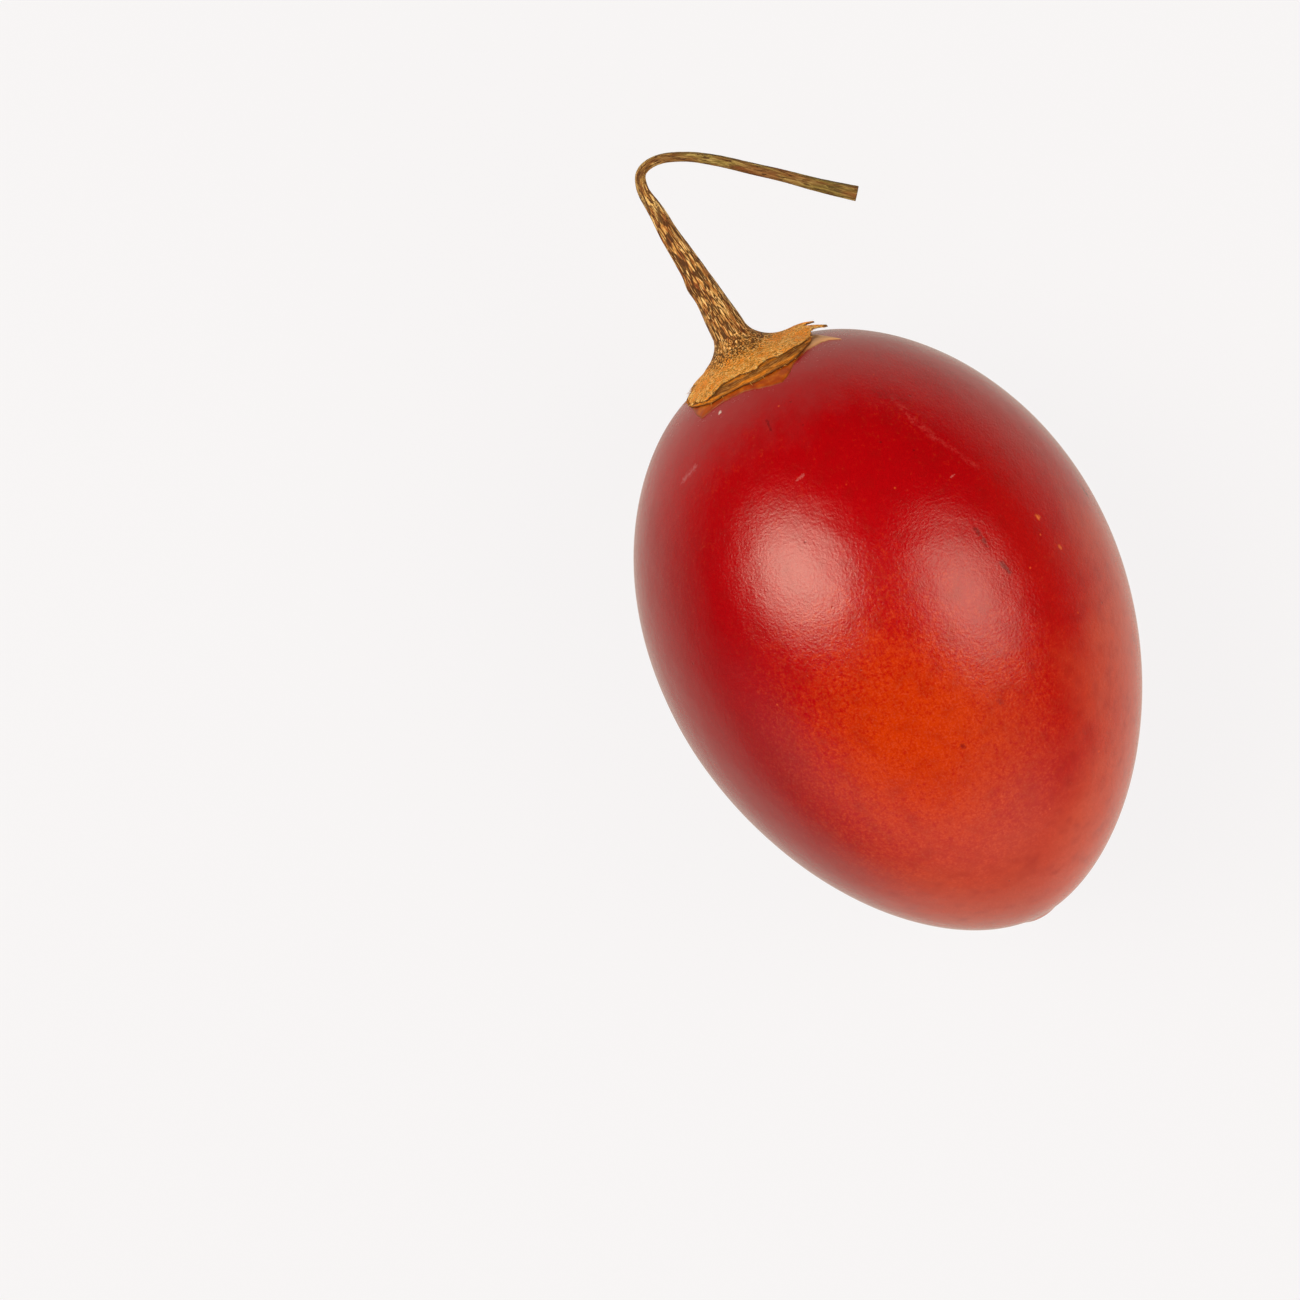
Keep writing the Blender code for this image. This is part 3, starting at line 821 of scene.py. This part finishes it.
class TAMARILLO_OT_calyx(bpy.types.Operator):
    """Make the calyx: its neck and flare, the rolled margin, the lining and torn fibres"""

    bl_idname = "tamarillo.calyx"
    bl_label = "Calyx"

    def execute(self, context):
        settings = context.scene.tamarillo_calyx
        thick = settings.thickness / MM
        sheet, roll, height = calyx_reach()
        # Each ring holds radius, height, rim and flare: down the flare to the sheet's margin
        wide = NECK[-1][0]
        upper = [ring(radius, lift, 0.0, flare) for radius, lift, flare in NECK]
        for share, rim in ((0.4, 0.0), (0.75, 0.25)):
            level = 0.93 + (height - 0.95) * share
            upper.append(ring(wide + (sheet - wide) * share, level, rim, 1.0))
        charred = np.clip((sheet - CHARRED_FROM) / CHARRED_OVER, 0.0, 1.0)
        upper.append(ring(sheet - 0.18, height, np.maximum(0.3, charred), 1.0))
        upper.append(ring(sheet, height - 0.05, 1.0, 1.0))
        upper = through(upper, STEPS_DOWN_FLARE)
        # Over the margin, back under it, then out over the rolled margin and in under that
        inner = np.minimum(sheet, roll - 0.05)
        # Under the sheet and where the rolled margin starts, rim is raised to paint shade into the gap
        under = [
            ring(sheet - 0.02, height - 0.05 - thick, 1.0, 1.0),
            ring(inner - 0.2, height - 0.06 - thick, 1.0, 1.0),
        ]
        start = height - 0.14 - thick
        # Its start, at rim 0.6, is painted shade in the gap under the sheet
        rolled = [ring(inner - 0.1, start, 0.6, 1.0)]
        # At each share of the way out: how far the roll bulges, and its rim
        for share, bulge, rim in (
            (0.3, 0.1, 0.2), (0.6, 0.12, 0.25), (0.85, 0.05, 0.6), (1.0, -0.06, 0.95),
        ):
            level = start + (0.42 - start) * share + bulge
            rolled.append(ring(inner - 0.1 + (roll - inner + 0.1) * share, level, rim, 1.0))
        rolled = through(rolled, STEPS_ON_ROLL)
        below = [ring(roll - 0.05, 0.24, 1.0, 1.0), ring(roll - 0.45, 0.26, 1.0, 1.0)]
        below += [ring(roll * share, 0.3, 1.0, 1.0) for share in (0.75, 0.5, 0.2)]
        radii, heights, rim, flare = np.array([*upper, *under, *rolled, *below]).transpose(1, 0, 2)
        # The dry sheet puckers in radial folds that deepen outwards
        folds = round_noise(34, 1.0) + 0.6 * round_noise(70, 2.0)
        deepen = np.clip((radii - 2.6) / 6.0, 0.0, 1.0) * (heights > 0.33)
        points = calyx_rings(radii, heights + 0.05 * deepen * folds)
        # The neck's top shares the stem's surface, then turns in under it
        run = stem_run()
        foot = []
        for x, more in ((-38.62, -0.06), (-38.6, 0.012), (-38.3, 0.012), (-38.0, 0.012), (-37.75, 0.014)):
            y, z, radius = (np.interp(-x, -run[:30, 0], run[:30, k]) for k in (1, 2, 3))
            radius += more
            foot.append(ring(x, y + radius * np.cos(TURNS), z + radius * np.sin(TURNS)).T)
        join = calyx_rings(1.86, 4.1)
        join[:, 1] -= 0.03
        foot = np.array([*foot, join])
        points = np.concatenate([foot, points])
        pad = np.zeros(foot.shape[:2])
        rim, flare = np.concatenate([pad, rim]), np.concatenate([pad, flare])
        steps = np.linalg.norm(np.diff(points, axis=0), axis=-1)
        stretch = GRAIN_STRETCH + 0.3 * flare[1:]
        arc = 0.8 * GRAIN_STRETCH - np.concatenate([pad[:1], np.cumsum(steps * stretch, axis=0)])
        out = np.hypot(points[..., 1] - CALYX_Y, points[..., 2])
        grain = np.stack([out * np.cos(TURNS), -out * np.sin(TURNS), arc], axis=-1)
        # On the rolled margin the grain runs round the calyx instead
        first = len(foot) + len(upper) + len(under)
        round_it = np.stack([out * np.cos(TURNS) * 0.25, out * np.sin(TURNS) * 0.25,
                             out + 3.0 * points[..., 0]], axis=-1)
        grain[first:] = round_it[first:]
        layer = np.zeros_like(rim)
        layer[first:] = 1.0
        husk = husk_material("dry calyx husk", context.scene.tamarillo_stem, settings)
        ends = [(-38.6, -1.05, 0.0), (skin_x(CALYX_Y, 0.0) - 0.3, CALYX_Y, 0.0)]
        calyx = shell(
            "calyx_husk", points, ends, {"rim": rim, "flare": flare, "grain": grain, "layer": layer}, husk)
        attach(calyx, "root")
        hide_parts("calyx")
        self.line(settings)
        self.fray(sheet, roll, height, husk)
        return {"FINISHED"}

    def line(self, settings):
        """The lining lies on the skin and shows past the rolled margin."""
        reach = round_values(LINING_REACH) + 0.06 * round_noise(80, 4.0)
        radii, heights, rim = np.array([ring(*values) for values in (
            (4.0, 0.2, 0.0), (reach - 1.6, 0.22, 0.0), (reach - 0.9, 0.21, 0.1), (reach - 0.4, 0.18, 0.35),
            (reach - 0.12, 0.14, 0.7), (reach, 0.05, 1.0), (reach, -0.08, 1.0), (reach * 0.6, -0.2, 1.0),
        )]).transpose(1, 0, 2)
        lumps = 0.03 * round_noise(60, 6.0) * (heights > 0.1)
        grain = np.stack([radii * np.cos(TURNS), radii * np.sin(TURNS), 0 * radii], axis=-1)
        lifted = np.clip(1.5 - abs(DEGREES - TONGUE_ANGLE) / 16, 0.0, 1.0) + 0 * radii
        x = skin_x(CALYX_Y, 0.0)
        ends = [(x - 0.2, CALYX_Y, 0.0), (x + 0.2, CALYX_Y, 0.0)]
        lining = shell("calyx_lining", calyx_rings(radii, heights + lumps), ends,
                       {"rim": rim, "grain": grain, "lifted": lifted}, lining_material(settings))
        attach(lining, "root")

    def fray(self, sheet, roll, height, material):
        """Torn fibres stand out of both margins."""
        spots, aims = [], []
        for radii, levels in ((sheet, height - 0.08), (roll, 0.34)):
            here = calyx_rings(radii - 0.1, levels)
            there = calyx_rings(radii + 0.4, levels + 0.04)
            spots.append(here[::FIBRE_EVERY])
            aims.append((there - here)[::FIBRE_EVERY])
        mesh = bpy.data.meshes.new("margin points")
        mesh.from_pydata(to_world(np.concatenate(spots)).tolist(), [], [])
        aims = np.concatenate(aims) @ TURN
        store(mesh, "outward", aims / np.linalg.norm(aims, axis=1)[:, None])
        fibres = grow("calyx_fibres", fibre_tree(), {"Material": material}, mesh)
        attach(fibres, "root")


class TAMARILLO_OT_stem(bpy.types.Operator):
    """Sweep the dry stem along its hooked path"""

    bl_idname = "tamarillo.stem"
    bl_label = "Stem"

    def execute(self, context):
        settings = context.scene.tamarillo_stem
        run = stem_run()
        back = (run[0] - run[3])[:3]
        root = [*(run[0][:3] + back / np.linalg.norm(back) * ROOT_LENGTH), ROOT_RADIUS]
        run = np.concatenate([[root], run])
        places, radii = run[:, :3], run[:, 3]
        steps = np.linalg.norm(np.diff(places, axis=0), axis=1)
        arc = np.concatenate([[0.0], np.cumsum(steps)]) - steps[0]
        along = np.gradient(places, axis=0)
        along /= np.linalg.norm(along, axis=1)[:, None]
        across, sides = np.array((0.0, 1.0, 0.0)), []
        for way in along:
            across = across - way * across.dot(way)
            across /= np.linalg.norm(across)
            sides.append(across)
        mesh = bpy.data.meshes.new("stem path")
        mesh.from_pydata(to_world(places).tolist(), [(i, i + 1) for i in range(len(run) - 1)], [])
        store(mesh, "thick", radii * MM)
        store(mesh, "arc", arc * MM)
        store(mesh, "across", np.array(sides) @ TURN)
        wood = husk_material("dry woody stem", settings, context.scene.tamarillo_calyx)
        stem = grow("stem_wood", stem_tree(), {
            "Ridges": settings.ridges, "Ridge Depth": settings.ridge_depth, "Material": wood}, mesh)
        face_out(stem.data)
        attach(stem, "root")
        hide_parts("stem")
        return {"FINISHED"}


class TAMARILLO_OT_stage(bpy.types.Operator):
    """Set up the floor, the soft studio light and the camera"""

    bl_idname = "tamarillo.stage"
    bl_label = "Stage"

    def execute(self, context):
        scene = context.scene
        settings = scene.tamarillo_stage
        right, up = CAMERA_RIGHT, CAMERA_UP
        camera = put("camera", bpy.data.cameras.new("camera"))
        camera.data.lens, camera.data.sensor_width = 180.0, 36.0
        camera.data.clip_start, camera.data.clip_end = 0.01, 20.0
        camera.matrix_world = facing(FRUIT_CENTRE + CAMERA_FROM * MM, right, up, right.cross(up))
        scene.camera = camera
        # Floor: a pale table lit a little from below, so that shadows stay faint
        floor = bpy.data.meshes.new("floor")
        corners = [(x * TABLE_HALF, y * TABLE_HALF, 0) for x, y in ((-1, -1), (1, -1), (1, 1), (-1, 1))]
        floor.from_pydata(corners, [], [(0, 1, 2, 3)])
        material = bpy.data.materials.new("pale lit table")
        add = own_nodes(material)
        away = add("VectorMath", (add("TexCoord").outputs["Object"],), "LENGTH")
        fade = add("MapRange", (away, 0.04, 0.25, 0.73, 0.25), **SMOOTH)
        seen = add("LightPath")
        glow = add("Mix", (seen, fade, 0.94))
        tone = add("Mix", (seen, "#FFF6E6", settings.floor), **BLEND)
        lit = add("Emission", (tone, glow))
        matt = add("BsdfDiffuse", ("#3C3C40",))
        both = add("AddShader", (lit, matt))
        add("OutputMaterial", (both,))
        floor.materials.append(material)
        ground = put("floor", floor)
        # Two softboxes, turned with the camera, so many degrees wide and tall, and a fill beyond
        # the blossom end, which the skin doesn't mirror
        for name, way, share, wide, tall in (
            ("softbox_left", (-0.354, -0.476, 0.805), 1.0, 62, 53),
            ("softbox_right", (0.145, 0.589, 0.797), 0.53, 58, 58),
            ("fill", (0.87, 0.23, 0.43), 0.31, 60, 60),
        ):
            lamp = bpy.data.lights.new(name, "AREA")
            lamp.shape = "RECTANGLE"
            lamp.size = 2 * LAMP_AWAY * math.tan(math.radians(wide / 2))
            lamp.size_y = 2 * LAMP_AWAY * math.tan(math.radians(tall / 2))
            lamp.energy = share * settings.softbox * math.pi * lamp.size * lamp.size_y
            # The cloth of a softbox is brightest in its middle and fades to its rim
            add = own_nodes(lamp)
            spot = add("NewGeometry").outputs["Parametric"]
            away = add("VectorMath", (spot, (0.5, 0.5, 0.0)), "DISTANCE")
            fade = add("MapRange", (away, 0.12, 0.5, 1.0, 0.0), **SMOOTH)
            cloth = add("Emission", ("#FFF8E0", fade))
            add("OutputLight", (cloth,))
            box = put(name, lamp)
            toward = Vector(way).normalized()
            flat = (right - toward * right.dot(toward)).normalized()
            box.matrix_world = facing(FRUIT_CENTRE + toward * LAMP_AWAY, flat, toward.cross(flat), toward)
            box.visible_camera = False
            box.visible_glossy = name != "fill"
        # Round the table the studio is dim, but for a low white board on the near side
        world = bpy.data.worlds.new("studio")
        scene.world = world
        add = own_nodes(world)
        way = add("TexCoord").outputs["Generated"]
        height = add("SeparateXYZ", (way,)).outputs["Z"]
        low = add("MapRange", (height, 0.3, 0.6, 1.0, 0.0), **SMOOTH)
        near = add("VectorMath", (way, (0.886, -0.464, 0.0)), "DOT_PRODUCT")
        near = add("MapRange", (near, 0.25, 0.85, 0.0, 0.6), **SMOOTH)
        glow = add("MULTIPLY_ADD", (low, near, 0.03))
        glow = add("Mix", (add("LightPath"), glow, 1.0))
        sky = add("Background", ("#F7F5F4", glow))
        add("OutputWorld", (sky,))
        scene.view_settings.view_transform = "Standard"
        return {"FINISHED"}


class TAMARILLO_PT_panel(bpy.types.Panel):
    bl_idname = "TAMARILLO_PT_panel"
    bl_label = "Tamarillo"
    bl_space_type = "VIEW_3D"
    bl_region_type = "UI"
    bl_category = "Tamarillo"

    def draw(self, context):
        for part in PARTS:
            column = self.layout.box().column()
            column.operator(f"tamarillo.{part}")
            settings = getattr(context.scene, f"tamarillo_{part}")
            for name in settings.__annotations__:
                column.prop(settings, name)


PARTS = {"fruit": FruitSettings, "calyx": CalyxSettings, "stem": StemSettings, "stage": StageSettings}
OPERATORS = (TAMARILLO_OT_fruit, TAMARILLO_OT_calyx, TAMARILLO_OT_stem, TAMARILLO_OT_stage)
CLASSES = (*PARTS.values(), *OPERATORS, TAMARILLO_PT_panel)


def register():
    for kind in CLASSES:
        bpy.utils.register_class(kind)
    for part, kind in PARTS.items():
        setattr(bpy.types.Scene, f"tamarillo_{part}", bpy.props.PointerProperty(type=kind))


def unregister():
    for part in PARTS:
        delattr(bpy.types.Scene, f"tamarillo_{part}")
    for kind in reversed(CLASSES):
        bpy.utils.unregister_class(kind)


def main():
    register()
    bpy.ops.tamarillo.stage()
    bpy.ops.tamarillo.fruit()
    bpy.ops.tamarillo.calyx()
    bpy.ops.tamarillo.stem()


if __name__ == "__main__":
    main()
